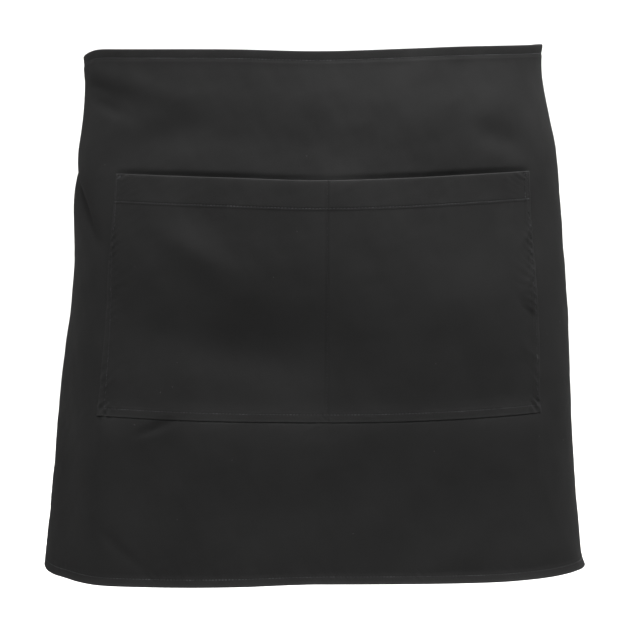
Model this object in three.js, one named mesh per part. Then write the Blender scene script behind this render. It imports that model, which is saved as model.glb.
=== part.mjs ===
import * as THREE from "three";

// A waist apron as it sits on its wearer: one sheet of cloth curved round the front of the body, a wide
// patch pocket that a seam parts in two, and two ties that go round the back and meet in a bow.
// Millimetres. +Z is up, -Y is the front, and the origin is the middle of the waist, level with the top edge.

// Cloth. Its wall is a little thicker than the real twill, so that it is a sound solid.
const CLOTH_THICKNESS = 1.2;
const SEAM_GAP = 0.3;

// Skirt: a rectangle, hemmed on all four sides, with the hem turned to the inside.
const SKIRT_WIDTH = 700;
const SKIRT_LENGTH = 503;
const WAIST_HEM = 10;
const EDGE_HEM = 8;
const HEM_TURN_THICKNESS = 0.9;
const HEM_TURN_STEP = 0.8;
const SKIRT_SHIFT = 10;

// The oval that the cloth follows: half its width, and its depth before and behind the origin.
const WAIST_REACH = 224;
const WAIST_FRONT = 135;
const WAIST_BACK = 125;

// Pocket. Its mouth has a band, a hem of double cloth.
const POCKET_DROP = 121;
const POCKET_HEIGHT = 228;
const POCKET_MOUTH_WIDTH = 424;
const POCKET_FOOT_WIDTH = 446;
const POCKET_BAND = 28;
const BAND_RISE = 0.7;
const POCKET_BELLY = 6;
const SKIRT_HOLLOW = 7;
const HOLLOW_FADE = 34;
const DIVIDER_OFFSET = 3;

// Ties, and the bow that they are tied in.
const TIE_WIDTH = 22;
const TIE_THICKNESS = 1.6;
const TIE_OVERLAP = 24;
const KNOT_WIDTH = 24;
const KNOT_HEIGHT = 28;
const KNOT_DEPTH = 20;
const KNOT_ROUNDING = 4;
const LOOP_LENGTH = 112;
const LOOP_OPENING = 30;
const LOOP_DROOP_DEG = 27;
const TAIL_LENGTH = 235;
const PINCHED_WIDTH = 13;

// How finely the faceted solids follow the cloth.
const COLUMN_STEP = 16;
const ROW_STEP = 26;
const RIBBON_STEP = 13;
const OVAL_STEPS = 180;
const SLOPE_STEP = 1;

const CLOTH_COLOUR = 0x2b2b2b;
const CLOTH_ROUGHNESS = 0.9;

// The oval at heights down the skirt. drop is a share of its length, left and right are shares of the
// waist's reach, and front of the waist's front depth.
const SECTIONS = [
  { drop: 0.0, left: 1.013, right: 0.981, front: 1.0 },
  { drop: 0.06, left: 1.014, right: 0.984, front: 1.03 },
  { drop: 0.14, left: 1.028, right: 1.013, front: 1.07 },
  { drop: 0.2, left: 1.048, right: 1.043, front: 1.09 },
  { drop: 0.26, left: 1.064, right: 1.059, front: 1.1 },
  { drop: 0.42, left: 1.07, right: 1.09, front: 1.11 },
  { drop: 0.5, left: 1.088, right: 1.106, front: 1.11 },
  { drop: 0.62, left: 1.125, right: 1.124, front: 1.12 },
  { drop: 0.86, left: 1.173, right: 1.161, front: 1.13 },
  { drop: 1.0, left: 1.205, right: 1.188, front: 1.13 },
];

// How far the cloth's level lines stand above a flat level, at the top edge, halfway down and at the hem.
// across is a share of half the skirt's width, and the rises are shares of DRAPE_RISE.
const DRAPE_RISE = 10;
const BACK_RISE = -8;
const LEVELS = [
  { across: -1.0, top: -0.9, middle: -0.4, hem: -0.3 },
  { across: -0.86, top: -0.65, middle: 0.0, hem: -0.8 },
  { across: -0.78, top: -0.25, middle: 0.1, hem: -0.84 },
  { across: -0.71, top: 0.13, middle: 0.2, hem: -0.9 },
  { across: -0.61, top: 0.19, middle: 0.3, hem: -0.89 },
  { across: -0.46, top: 0.19, middle: 0.24, hem: -0.73 },
  { across: -0.25, top: 0.17, middle: 0.12, hem: -0.4 },
  { across: -0.03, top: 0.0, middle: 0.0, hem: -0.05 },
  { across: 0.23, top: 0.26, middle: 0.12, hem: -0.17 },
  { across: 0.37, top: 0.44, middle: 0.26, hem: -0.29 },
  { across: 0.54, top: 0.55, middle: 0.42, hem: -0.44 },
  { across: 0.72, top: 0.66, middle: 0.52, hem: -0.38 },
  { across: 0.82, top: 0.7, middle: 0.5, hem: -0.36 },
  { across: 1.0, top: 0.3, middle: 0.4, hem: -0.4 },
];

// The main soft folds. across and drop place a fold's middle, as in the tables above. long and wide are
// its reach along and beside its own line, as shares of the skirt's length, and lean is that line's angle
// from upright. rise is a share of FOLD_RISE, below 0 for a dent.
const FOLD_RISE = 5;
const FOLDS = [
  { name: "left waist pull", across: -0.66, drop: 0.055, long: 0.15, wide: 0.03, lean: 79, rise: 0.4 },
  { name: "left waist dent", across: -0.64, drop: 0.095, long: 0.1, wide: 0.032, lean: 79, rise: -0.5 },
  { name: "left waist streak", across: -0.48, drop: 0.17, long: 0.1, wide: 0.035, lean: -68, rise: -0.6 },
  { name: "middle waist dent", across: -0.14, drop: 0.16, long: 0.22, wide: 0.05, lean: 88, rise: -0.7 },
  { name: "right waist swell", across: 0.42, drop: 0.13, long: 0.22, wide: 0.085, lean: 80, rise: 0.9 },
  { name: "right waist dent", across: 0.5, drop: 0.175, long: 0.08, wide: 0.03, lean: 70, rise: -0.5 },
  { name: "left hip crease", across: -0.8, drop: 0.31, long: 0.14, wide: 0.03, lean: 59, rise: -0.7 },
  { name: "left pocket ridge", across: -0.34, drop: 0.375, long: 0.09, wide: 0.038, lean: 53, rise: 0.7 },
  { name: "left pocket dent", across: -0.19, drop: 0.555, long: 0.15, wide: 0.075, lean: 78, rise: -1.3 },
  { name: "pocket middle swell", across: 0.05, drop: 0.37, long: 0.2, wide: 0.11, lean: 0, rise: 1.3 },
  { name: "right pocket swell", across: 0.25, drop: 0.43, long: 0.18, wide: 0.07, lean: 76, rise: 0.8 },
  { name: "left side ridge", across: -0.64, drop: 0.82, long: 0.4, wide: 0.05, lean: 2, rise: 0.9 },
  { name: "left side valley", across: -0.86, drop: 0.82, long: 0.36, wide: 0.06, lean: 2, rise: -0.9 },
  { name: "right side ridge", across: 0.66, drop: 0.86, long: 0.36, wide: 0.06, lean: 0, rise: 0.7 },
  { name: "right side valley", across: 0.88, drop: 0.82, long: 0.3, wide: 0.06, lean: 3, rise: -0.8 },
  { name: "front sway", across: 0.14, drop: 0.98, long: 0.24, wide: 0.16, lean: 0, rise: -0.6 },
];

// A bow loop seen from above, from the knot out along its outer side and back along its inner one.
// along is a share of the loop's length, and apart of its opening, from the knot's own depth.
const LOOP_OUTLINE = [
  { along: 0.0, apart: 0.1 },
  { along: 0.28, apart: 0.42 },
  { along: 0.62, apart: 0.62 },
  { along: 0.88, apart: 0.44 },
  { along: 1.0, apart: 0.12 },
  { along: 0.92, apart: -0.2 },
  { along: 0.66, apart: -0.36 },
  { along: 0.32, apart: -0.28 },
  { along: 0.0, apart: -0.1 },
];

// A hanging tie end. down, side and out are shares of its length, and twist turns the tape.
const TAIL_ROUTE = [
  { down: 0.0, side: 0.0, out: 0.0, twist: 0 },
  { down: 0.03, side: 0.0, out: 0.0, twist: 0 },
  { down: 0.22, side: 0.05, out: 0.03, twist: 8 },
  { down: 0.5, side: 0.1, out: 0.0, twist: -10 },
  { down: 0.76, side: 0.11, out: 0.015, twist: -4 },
  { down: 1.0, side: 0.15, out: -0.01, twist: 12 },
];

const cloth = new THREE.MeshStandardMaterial({
  color: CLOTH_COLOUR,
  roughness: CLOTH_ROUGHNESS,
  metalness: 0,
});

// The value of a table's column at a place between its rows, on a smooth curve that keeps within them.
function between(table, key, column, place) {
  const last = table.length - 1;
  const at = THREE.MathUtils.clamp(place, table[0][key], table[last][key]);
  let row = 0;
  while (row < last - 1 && table[row + 1][key] < at) row += 1;
  const slope = (i) => (table[i + 1][column] - table[i][column]) / (table[i + 1][key] - table[i][key]);
  const bend = (i) => {
    if (i === 0) return slope(0);
    if (i === last) return slope(last - 1);
    return slope(i - 1) * slope(i) <= 0 ? 0 : (slope(i - 1) + slope(i)) / 2;
  };
  const span = table[row + 1][key] - table[row][key];
  const s = (at - table[row][key]) / span;
  return (
    (2 * s ** 3 - 3 * s ** 2 + 1) * table[row][column] +
    (s ** 3 - 2 * s ** 2 + s) * span * bend(row) +
    (3 * s ** 2 - 2 * s ** 3) * table[row + 1][column] +
    (s ** 3 - s ** 2) * span * bend(row + 1)
  );
}

// One side of the oval at a height: points from the front's middle to the back's, with the way along it.
const ovals = new Map();
function ovalSide(side, drop) {
  const key = side + " " + drop;
  if (ovals.has(key)) return ovals.get(key);
  const reach = WAIST_REACH * between(SECTIONS, "drop", side < 0 ? "left" : "right", drop);
  const front = WAIST_FRONT * between(SECTIONS, "drop", "front", drop);
  const points = [];
  let along = 0;
  for (let i = 0; i <= OVAL_STEPS; i += 1) {
    const turn = (Math.PI * i) / OVAL_STEPS;
    const depth = turn < Math.PI / 2 ? front : WAIST_BACK;
    const point = new THREE.Vector2(side * reach * Math.sin(turn), -depth * Math.cos(turn));
    if (i > 0) along += point.distanceTo(points[i - 1].point);
    points.push({ point, along });
  }
  ovals.set(key, points);
  return points;
}

function halfRound(side) {
  return ovalSide(side, 0)[OVAL_STEPS].along;
}

function ovalPoint(round, drop) {
  const points = ovalSide(round < 0 ? -1 : 1, drop);
  const way = Math.min(Math.abs(round), points[OVAL_STEPS].along);
  let i = 1;
  while (i < OVAL_STEPS && points[i].along < way) i += 1;
  const share = (way - points[i - 1].along) / (points[i].along - points[i - 1].along);
  return points[i - 1].point.clone().lerp(points[i].point, share);
}

// The rise of the cloth's level line. Past the skirt's sides it eases to the tie's sag at the back.
function levelRise(across, drop) {
  const half = SKIRT_WIDTH / 2;
  const edge = THREE.MathUtils.clamp(across, -half, half);
  const share = edge / half;
  const top = between(LEVELS, "across", "top", share);
  const middle = between(LEVELS, "across", "middle", share);
  const hem = between(LEVELS, "across", "hem", share);
  const upper = (1 - drop) * (1 - 2 * drop) * top;
  const lower = drop * (2 * drop - 1) * hem;
  const rise = upper + 4 * drop * (1 - drop) * middle + lower;
  const beyond = Math.abs(across) - half;
  const toBack = halfRound(Math.sign(across) || 1) - half - Math.sign(across) * SKIRT_SHIFT;
  return THREE.MathUtils.lerp(DRAPE_RISE * rise, BACK_RISE, THREE.MathUtils.smoothstep(beyond, 0, toBack));
}

function foldRise(across, down) {
  let rise = 0;
  for (const fold of FOLDS) {
    const lean = THREE.MathUtils.degToRad(fold.lean);
    const x = across - (fold.across * SKIRT_WIDTH) / 2;
    const y = down - fold.drop * SKIRT_LENGTH;
    const lengthwise = (y * Math.cos(lean) + x * Math.sin(lean)) / (fold.long * SKIRT_LENGTH);
    const sideways = (x * Math.cos(lean) - y * Math.sin(lean)) / (fold.wide * SKIRT_LENGTH);
    rise += FOLD_RISE * fold.rise * Math.exp(-(lengthwise ** 2) - sideways ** 2);
  }
  return rise;
}

// A point of the cloth's middle surface: across and down are measured on the flat cloth from the middle
// of its top edge.
function surface(across, down) {
  const drop = THREE.MathUtils.clamp(down / SKIRT_LENGTH, 0, 1);
  const { x, y } = ovalPoint(across + SKIRT_SHIFT, drop);
  return new THREE.Vector3(x, y, -down + levelRise(across, drop));
}

// The same point moved outward, square to the cloth.
function outward(across, down, distance) {
  const sideways = surface(across + SLOPE_STEP, down).sub(surface(across - SLOPE_STEP, down));
  const downward = surface(across, down + SLOPE_STEP).sub(surface(across, down - SLOPE_STEP));
  const normal = downward.cross(sideways).normalize();
  return surface(across, down).addScaledVector(normal, distance);
}

// Pocket edges: straight lines that splay from the mouth to the foot, and run on over the whole skirt.
function pocketEdge(side, down) {
  const share = (down - POCKET_DROP) / POCKET_HEIGHT;
  const width = THREE.MathUtils.lerp(POCKET_MOUTH_WIDTH, POCKET_FOOT_WIDTH, share);
  return (side * width) / 2 - DIVIDER_OFFSET * (share + 0.5);
}

// How far a point lies across its half of the pocket: 0 at the divider and 1 at the pocket's side.
function shareOfHalf(across, down) {
  return Math.abs(across) / Math.abs(pocketEdge(Math.sign(across) || 1, down));
}

function arch(share) {
  return share >= 1 ? 0 : Math.sin(Math.PI * share);
}

function pocketBelly(across, down) {
  const depth = THREE.MathUtils.clamp((down - POCKET_DROP) / POCKET_HEIGHT, 0, 1);
  return POCKET_BELLY * arch(shareOfHalf(across, down)) * Math.cos((Math.PI / 2) * depth);
}

// The skirt sinks a little behind the pocket's mouth, which opens the pocket.
function skirtHollow(across, down) {
  const depth = (down - POCKET_DROP) / POCKET_HEIGHT;
  const above = THREE.MathUtils.smoothstep(down, POCKET_DROP - HOLLOW_FADE, POCKET_DROP);
  const below = 1 - THREE.MathUtils.smoothstep(depth, 0.2, 0.95);
  return SKIRT_HOLLOW * arch(shareOfHalf(across, down)) * above * below;
}

// A closed solid from a grid of points on its outer and its inner face.
function gridSolid(outer, inner) {
  const rows = outer.length;
  const columns = outer[0].length;
  const positions = [];
  for (const row of [...outer, ...inner]) for (const p of row) positions.push(p.x, p.y, p.z);
  const out = (r, c) => r * columns + c;
  const back = (r, c) => (rows + r) * columns + c;
  const index = [];
  const quad = (a, b, c, d) => index.push(a, b, c, a, c, d);
  for (let r = 0; r < rows - 1; r += 1) {
    for (let c = 0; c < columns - 1; c += 1) {
      quad(out(r, c), out(r + 1, c), out(r + 1, c + 1), out(r, c + 1));
      index.push(back(r, c), back(r + 1, c + 1), back(r + 1, c));
      index.push(back(r, c), back(r, c + 1), back(r + 1, c + 1));
    }
    quad(out(r, 0), back(r, 0), back(r + 1, 0), out(r + 1, 0));
    quad(out(r, columns - 1), out(r + 1, columns - 1), back(r + 1, columns - 1), back(r, columns - 1));
  }
  for (let c = 0; c < columns - 1; c += 1) {
    quad(out(0, c), out(0, c + 1), back(0, c + 1), back(0, c));
    quad(out(rows - 1, c), back(rows - 1, c), back(rows - 1, c + 1), out(rows - 1, c + 1));
  }
  const geometry = new THREE.BufferGeometry();
  geometry.setAttribute("position", new THREE.Float32BufferAttribute(positions, 3));
  geometry.setIndex(index);
  geometry.computeVertexNormals();
  return geometry;
}

// Places from one stop to the next, evenly spread and no further apart than the step.
function spread(stops, step) {
  const places = [stops[0]];
  for (let i = 1; i < stops.length; i += 1) {
    const count = Math.max(1, Math.ceil((stops[i] - stops[i - 1]) / step));
    for (let k = 1; k <= count; k += 1) places.push(THREE.MathUtils.lerp(stops[i - 1], stops[i], k / count));
  }
  return places;
}

// The skirt and the pocket share one net of lines, so that their facets lie flat on each other. A column
// is a straight line, given by where it crosses the top edge and the hem.
function column(top, foot) {
  return { top, foot, at: (down) => THREE.MathUtils.lerp(top, foot, down / SKIRT_LENGTH) };
}

function columnsBetween(first, last, step) {
  const count = Math.max(1, Math.ceil(Math.abs(last.foot - first.foot) / step));
  const made = [];
  for (let k = 1; k <= count; k += 1) {
    const share = k / count;
    made.push(
      column(
        THREE.MathUtils.lerp(first.top, last.top, share),
        THREE.MathUtils.lerp(first.foot, last.foot, share),
      ),
    );
  }
  return made;
}

const sideLine = (side, inset) => column(side * (SKIRT_WIDTH / 2 - inset), side * (SKIRT_WIDTH / 2 - inset));
const pocketSideLine = (side) => column(pocketEdge(side, 0), pocketEdge(side, SKIRT_LENGTH));
const dividerLine = column(0, 0);

const netStops = [
  sideLine(-1, 0),
  sideLine(-1, EDGE_HEM),
  sideLine(-1, EDGE_HEM + HEM_TURN_STEP),
  sideLine(-1, TIE_OVERLAP),
  pocketSideLine(-1),
  dividerLine,
  pocketSideLine(1),
  sideLine(1, TIE_OVERLAP),
  sideLine(1, EDGE_HEM + HEM_TURN_STEP),
  sideLine(1, EDGE_HEM),
  sideLine(1, 0),
];
const netColumns = [netStops[0]];
for (let i = 1; i < netStops.length; i += 1) {
  netColumns.push(...columnsBetween(netStops[i - 1], netStops[i], COLUMN_STEP));
}

const pocketFoot = POCKET_DROP + POCKET_HEIGHT;
const bandFoot = POCKET_DROP + POCKET_BAND;
const pocketRows = spread([POCKET_DROP, bandFoot, bandFoot + HEM_TURN_STEP, pocketFoot], ROW_STEP);
const hemTop = SKIRT_LENGTH - EDGE_HEM;
const netRows = [
  ...spread([0, WAIST_HEM, WAIST_HEM + HEM_TURN_STEP, POCKET_DROP], ROW_STEP),
  ...pocketRows.slice(1),
  ...spread([pocketFoot, hemTop - HEM_TURN_STEP, hemTop, SKIRT_LENGTH], ROW_STEP).slice(1),
];

function inHem(across, down) {
  const nearSide = SKIRT_WIDTH / 2 - Math.abs(across) < EDGE_HEM + HEM_TURN_STEP / 2;
  const nearTop = down < WAIST_HEM + HEM_TURN_STEP / 2;
  const nearFoot = SKIRT_LENGTH - down < EDGE_HEM + HEM_TURN_STEP / 2;
  return nearSide || nearTop || nearFoot;
}

// A grid of points at each row's crossings with the lines, moved outward by an offset.
function netFace(rows, lines, offset) {
  return rows.map((v) => lines.map((line) => outward(line.at(v), v, offset(line.at(v), v))));
}

function skirt() {
  const half = CLOTH_THICKNESS / 2;
  const middle = (w, v) => foldRise(w, v) - skirtHollow(w, v);
  const face = (offset) => netFace(netRows, netColumns, offset);
  const outer = face((w, v) => middle(w, v) + half);
  const inner = face((w, v) => middle(w, v) - half - (inHem(w, v) ? HEM_TURN_THICKNESS : 0));
  return gridSolid(outer, inner);
}

function pocket() {
  const first = netColumns.findIndex((line) => line.top === pocketSideLine(-1).top);
  const last = netColumns.findIndex((line) => line.top === pocketSideLine(1).top);
  const lines = netColumns.slice(first, last + 1);
  const seat = CLOTH_THICKNESS / 2 + SEAM_GAP;
  const back = (w, v) => foldRise(w, v) + seat + pocketBelly(w, v);
  const face = (offset) => netFace(pocketRows, lines, offset);
  const band = (v) => (v < bandFoot + HEM_TURN_STEP / 2 ? BAND_RISE : 0);
  return gridSolid(
    face((w, v) => back(w, v) + CLOTH_THICKNESS + band(v)),
    face(back),
  );
}

// Where the ties lie: inside the skirt's hem, and on round the back at the same depth.
const tieOuterFace = -(CLOTH_THICKNESS / 2 + HEM_TURN_THICKNESS + SEAM_GAP);
const knotSide = KNOT_WIDTH / 2 + SEAM_GAP;

function tie(side) {
  const edge = SKIRT_WIDTH / 2;
  const end = halfRound(side) - side * SKIRT_SHIFT - knotSide;
  const hem = edge - EDGE_HEM;
  const sewn = spread([edge - TIE_OVERLAP, hem - HEM_TURN_STEP, hem, edge], COLUMN_STEP);
  const ways = [...sewn, ...spread([edge, end], RIBBON_STEP).slice(1)];
  if (side < 0) ways.reverse();
  const rows = [0, WAIST_HEM, TIE_WIDTH];
  const at = (way, v, offset) => outward(side * way, v, foldRise(side * way, v) + offset);
  const face = (offset) => rows.map((v) => ways.map((way) => at(way, v, offset)));
  return gridSolid(face(tieOuterFace), face(tieOuterFace - TIE_THICKNESS));
}

// A tape swept along a smooth line. Each station has its middle, its direction across and its half width.
function ribbon(stations, thickness) {
  const at = ({ middle, across, out, halfWidth }, edge, offset) =>
    middle.clone().addScaledVector(across, edge * halfWidth).addScaledVector(out, offset);
  const face = (offset) => [-1, 1].map((edge) => stations.map((s) => at(s, edge, offset)));
  return gridSolid(face(thickness / 2), face(-thickness / 2));
}

// Stations along a curve: the tape's breadth leans towards a given direction, turned by a twist. It is
// pinched to half its width where it enters the knot, at the curve's start and, for a loop, at its end too.
function stationsOn(curve, breadth, twistAt, pinchedAtEnd) {
  const length = curve.getLength();
  const count = Math.ceil(length / RIBBON_STEP);
  const stations = [];
  for (let i = 0; i <= count; i += 1) {
    const share = i / count;
    const tangent = curve.getTangentAt(share);
    const across = breadth.clone().addScaledVector(tangent, -breadth.dot(tangent)).normalize();
    across.applyAxisAngle(tangent, THREE.MathUtils.degToRad(twistAt(share)));
    const fromKnot = Math.min(share, pinchedAtEnd ? 1 - share : share) * length;
    const open = THREE.MathUtils.smoothstep(fromKnot, 0, 2 * TIE_WIDTH);
    stations.push({
      middle: curve.getPointAt(share),
      across,
      out: across.clone().cross(tangent).normalize(),
      halfWidth: THREE.MathUtils.lerp(PINCHED_WIDTH, TIE_WIDTH, open) / 2,
    });
  }
  return stations;
}

// The knot stands on the ties, so that they enter its sides near its inner face.
const knotInner = WAIST_BACK + tieOuterFace - TIE_THICKNESS * 2;
const knotMiddle = new THREE.Vector3(0, knotInner + KNOT_DEPTH / 2, BACK_RISE - TIE_WIDTH / 2);
const loopSeat = knotInner + KNOT_DEPTH * 0.68;

function knot() {
  const w = KNOT_WIDTH / 2 - KNOT_ROUNDING;
  const h = KNOT_HEIGHT / 2 - KNOT_ROUNDING;
  const outline = new THREE.Shape();
  outline.absarc(w, h, KNOT_ROUNDING, 0, Math.PI / 2);
  outline.absarc(-w, h, KNOT_ROUNDING, Math.PI / 2, Math.PI);
  outline.absarc(-w, -h, KNOT_ROUNDING, Math.PI, 1.5 * Math.PI);
  outline.absarc(w, -h, KNOT_ROUNDING, 1.5 * Math.PI, 2 * Math.PI);
  const bevel = KNOT_ROUNDING / 2;
  const geometry = new THREE.ExtrudeGeometry(outline, {
    depth: KNOT_DEPTH - 2 * bevel,
    bevelSize: bevel,
    bevelThickness: bevel,
    bevelOffset: -bevel,
    bevelSegments: 2,
    curveSegments: 3,
  });
  geometry.translate(0, 0, -(KNOT_DEPTH / 2 - bevel));
  geometry.rotateX(Math.PI / 2);
  return geometry;
}

function bowLoop(side) {
  const droop = THREE.MathUtils.degToRad(LOOP_DROOP_DEG);
  const standOff = knotSide + (PINCHED_WIDTH / 2 + SEAM_GAP) * Math.sin(droop);
  const points = LOOP_OUTLINE.map(({ along, apart }) => {
    const x = standOff + along * LOOP_LENGTH * Math.cos(droop);
    const z = knotMiddle.z - along * LOOP_LENGTH * Math.sin(droop);
    return new THREE.Vector3(side * x, loopSeat + apart * LOOP_OPENING, z);
  });
  const curve = new THREE.CatmullRomCurve3(points, false, "centripetal");
  return ribbon(stationsOn(curve, new THREE.Vector3(0, 0, side), () => 0, true), TIE_THICKNESS);
}

function tieEnd(side) {
  const start = knotMiddle.z - KNOT_HEIGHT / 2 - SEAM_GAP;
  const seat = knotInner + KNOT_DEPTH * (side < 0 ? 0.4 : 0.72);
  const points = TAIL_ROUTE.map(
    ({ down, side: aside, out }) =>
      new THREE.Vector3(
        side * (TIE_THICKNESS + aside * TAIL_LENGTH),
        seat + out * TAIL_LENGTH,
        start - down * TAIL_LENGTH,
      ),
  );
  const curve = new THREE.CatmullRomCurve3(points, false, "centripetal");
  const twist = (share) => side * between(TAIL_ROUTE, "down", "twist", share);
  return ribbon(stationsOn(curve, new THREE.Vector3(1, 0, 0), twist, false), TIE_THICKNESS);
}

const apron = new THREE.Group();

function add(name, geometry, position) {
  const mesh = new THREE.Mesh(geometry, cloth);
  mesh.name = name;
  if (position) mesh.position.copy(position);
  apron.add(mesh);
}

add("skirt", skirt());
add("pocket", pocket());
for (const [hand, side] of [["left", -1], ["right", 1]]) {
  add(`tie_${hand}`, tie(side));
  add(`bow_loop_${hand}`, bowLoop(side));
  add(`tie_end_${hand}`, tieEnd(side));
}
add("bow_knot", knot(), knotMiddle);

export default apron;
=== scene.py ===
import bpy
import numpy as np
from bpy.props import FloatProperty, FloatVectorProperty, IntProperty, PointerProperty
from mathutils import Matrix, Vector


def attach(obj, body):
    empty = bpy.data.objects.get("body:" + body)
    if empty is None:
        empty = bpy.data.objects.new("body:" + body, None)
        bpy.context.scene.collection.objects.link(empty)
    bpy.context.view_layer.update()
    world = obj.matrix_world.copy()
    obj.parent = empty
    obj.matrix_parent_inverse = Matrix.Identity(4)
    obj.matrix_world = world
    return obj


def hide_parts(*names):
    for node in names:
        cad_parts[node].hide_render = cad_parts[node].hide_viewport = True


# A waist apron of black cotton twill as it sits on its wearer: the hemmed skirt, the patch pocket that a
# seam parts in two, and the ties in their bow. Metres, +Z up and -Y the front. The origin is the middle of
# the waist, level with the top edge. "across" and "down" are measured on the flat cloth, from the middle of
# its top edge, and "lift" is the height off the cloth's middle surface.

bl_info = {
    "name": "Waist apron",
    "version": (1, 0, 0),
    "blender": (4, 5, 0),
    "location": "View3D > Sidebar > Apron",
    "description": "A black twill waist apron with a divided patch pocket, as it sits on its wearer",
    "category": "Add Mesh",
}

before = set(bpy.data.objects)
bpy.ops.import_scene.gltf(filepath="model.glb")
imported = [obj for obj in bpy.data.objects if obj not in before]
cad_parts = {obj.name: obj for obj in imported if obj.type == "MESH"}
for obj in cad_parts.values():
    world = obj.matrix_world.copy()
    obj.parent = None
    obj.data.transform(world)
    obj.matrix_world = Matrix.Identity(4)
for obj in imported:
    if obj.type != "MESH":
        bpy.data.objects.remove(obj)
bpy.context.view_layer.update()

MM = 0.001
BODY = "root"
HANDS = (("left", -1), ("right", 1))
# How closely the grids follow the cloth: their steps at its round edges and over its hems, and how far in
# those steps run.
EDGE_STEP, EDGE_RUN = 0.2 * MM, 1 * MM
HEM_STEP, HEM_RUN = 0.9 * MM, 12 * MM
TAPE_SEAM = 2 * MM


def table(columns, *rows):
    """A table with named columns. A column called name holds words, and the others hold numbers."""
    kinds = [(column, "U28" if column == "name" else "f8") for column in columns.split()]
    return np.array(list(rows), dtype=kinds)


# The oval that the cloth follows, at heights down the skirt. drop is a share of the skirt's length, left
# and right are shares of the waist's reach, and front of its front depth.
SECTIONS = table(
    "drop left right front",
    (0.0, 1.013, 0.981, 1.0),
    (0.06, 1.014, 0.984, 1.03),
    (0.14, 1.028, 1.013, 1.07),
    (0.2, 1.048, 1.043, 1.09),
    (0.26, 1.064, 1.059, 1.1),
    (0.42, 1.07, 1.09, 1.11),
    (0.5, 1.088, 1.106, 1.11),
    (0.62, 1.125, 1.124, 1.12),
    (0.86, 1.173, 1.161, 1.13),
    (1.0, 1.205, 1.188, 1.13),
)

# How far the cloth's level lines stand above a flat level. across is a share of half the skirt's width,
# and the rises at the top edge, halfway down and at the hem are shares of the drape rise.
LEVELS = table(
    "across top middle hem",
    (-1.0, -0.9, -0.4, -0.3),
    (-0.86, -0.65, 0.0, -0.8),
    (-0.78, -0.25, 0.1, -0.84),
    (-0.71, 0.13, 0.2, -0.9),
    (-0.61, 0.19, 0.3, -0.89),
    (-0.46, 0.19, 0.24, -0.73),
    (-0.25, 0.17, 0.12, -0.4),
    (-0.03, 0.0, 0.0, -0.05),
    (0.23, 0.26, 0.12, -0.17),
    (0.37, 0.44, 0.26, -0.29),
    (0.54, 0.55, 0.42, -0.44),
    (0.72, 0.66, 0.52, -0.38),
    (0.82, 0.7, 0.5, -0.36),
    (1.0, 0.3, 0.4, -0.4),
)

# Soft folds. across and drop place a fold's middle, as above. long and wide are its reach along and beside
# its own line, as shares of the skirt's length. lean is that line's angle from upright, in degrees, towards
# the right going down. rise is a share of the fold rise, below 0 for a dent.
FOLDS = table(
    "name across drop long wide lean rise",
    ("left waist pull", -0.66, 0.055, 0.15, 0.025, 79, 0.4),
    ("left waist dent", -0.64, 0.095, 0.1, 0.032, 79, -0.5),
    ("left waist streak", -0.48, 0.17, 0.1, 0.035, -68, -0.6),
    ("middle waist dent", -0.14, 0.175, 0.22, 0.055, 88, -0.6),
    ("right waist swell", 0.42, 0.13, 0.22, 0.085, 80, 0.9),
    ("right waist dent", 0.5, 0.175, 0.08, 0.028, 70, -0.5),
    ("left hip crease", -0.79, 0.295, 0.11, 0.022, 47, -1.2),
    ("left pocket ridge", -0.34, 0.39, 0.09, 0.038, 53, 1.0),
    ("left pocket dent", -0.24, 0.552, 0.12, 0.052, 86, -1.5),
    ("left pocket hollow", -0.17, 0.57, 0.14, 0.11, 80, -1.8),
    ("pocket middle swell", 0.05, 0.37, 0.2, 0.11, 0, 1.6),
    ("left pocket corner swell", -0.55, 0.41, 0.1, 0.08, 85, 1.0),
    ("right pocket swell", 0.38, 0.5, 0.2, 0.13, 80, 1.6),
    ("left side ridge", -0.65, 0.82, 0.4, 0.06, 2, 1.7),
    ("left side valley", -0.84, 0.82, 0.36, 0.06, 2, -0.9),
    ("right side ridge", 0.66, 0.86, 0.36, 0.06, 0, 0.7),
    ("right side valley", 0.88, 0.82, 0.3, 0.06, 3, -0.8),
    ("front sway", 0.14, 0.98, 0.24, 0.16, 0, -0.6),
)

# Sharper, shallower creases, in the same columns. rise is a share of the crease rise.
CREASES = table(
    "name across drop long wide lean rise",
    ("waist crease", -0.72, 0.07, 0.06, 0.011, 76, -1.3),
    ("waist crease below", -0.66, 0.115, 0.07, 0.012, 74, -1.0),
    ("hip crease", -0.81, 0.288, 0.09, 0.012, 47, -2.2),
    ("side seam pucker", 0.585, 0.36, 0.03, 0.008, -48, 0.8),
    ("side seam pucker below", 0.6, 0.43, 0.028, 0.007, -40, 0.7),
    ("side seam pull", 0.57, 0.5, 0.035, 0.008, 42, -0.8),
    ("side seam pull below", 0.59, 0.585, 0.03, 0.008, 48, 0.7),
    ("left seam pull", -0.6, 0.47, 0.03, 0.009, -50, -0.7),
    ("pocket foot crease", -0.476, 0.71, 0.035, 0.009, -68, -2.2),
    ("hem crease", -0.585, 0.933, 0.05, 0.009, 53, -1.0),
)

# The slanting puckers beside the stitched rows: their rise and how far they reach from the row, in
# millimetres, and what is added to the seed for them.
PUCKERS = table(
    "name rise reach seed",
    ("foot hem", 0.34, 7, 20),
    ("waist hem", 0.1, 8, 30),
    ("side hem", 0.15, 7, 40),
    ("below pocket", 0.3, 13, 50),
    ("pocket side", 0.75, 19, 60),
    ("pocket foot", 0.22, 9, 70),
    ("pocket band", 0.14, 8, 80),
    ("divider", 0.16, 6, 90),
)

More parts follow.
